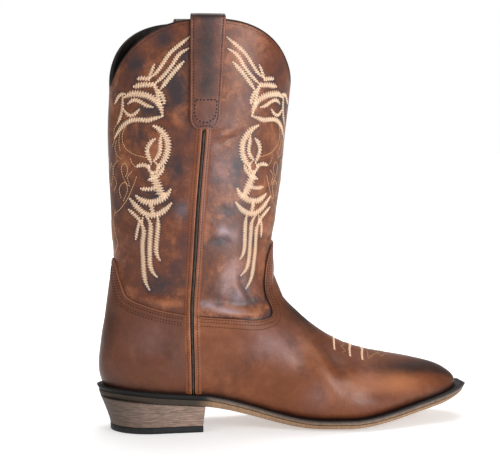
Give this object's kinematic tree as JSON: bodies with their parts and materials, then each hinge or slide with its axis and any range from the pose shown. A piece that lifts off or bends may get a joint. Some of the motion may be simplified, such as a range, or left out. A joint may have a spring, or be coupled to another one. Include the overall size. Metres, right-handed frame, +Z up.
{
  "type": "western boot",
  "caption": "Pull-on western boot with a tall scalloped shaft, pull straps, laid-over vamp and heel counter, welted leather sole with toe spring and an underslung stacked heel.",
  "frame": {"origin": "on the floor, under the middle of the boot's box", "axes": "+X towards the toe, +Y towards the inner side of the foot, +Z up the shaft"},
  "size_m": [0.3058, 0.1044, 0.3298],
  "materials": {
    "shaft_leather": "waxed, distressed brown with darker patches",
    "vamp_leather": "waxed, smooth brown with lighter worn areas",
    "counter_leather": "waxed, dark brown",
    "strap_leather": "waxed, dark brown with stitched edges",
    "piping_leather": "near black cord",
    "welt_leather": "dressed near black",
    "sole_leather": "natural tan, trimmed edge",
    "heel_leather": "stacked layers, grey tan",
    "lining": "matt black",
    "top_lift": "matt black"
  },
  "bodies": {
    "root": {"upper": "shaft_leather", "vamp": "vamp_leather", "heel_counter": "counter_leather", "side_piping_outer": "piping_leather", "side_piping_inner": "piping_leather", "pull_strap_outer": "strap_leather", "pull_strap_inner": "strap_leather", "insole": "lining", "welt": "welt_leather", "outsole": "sole_leather", "heel_stack": "heel_leather", "heel_top_lift": "top_lift"}
  },
  "joints": []
}
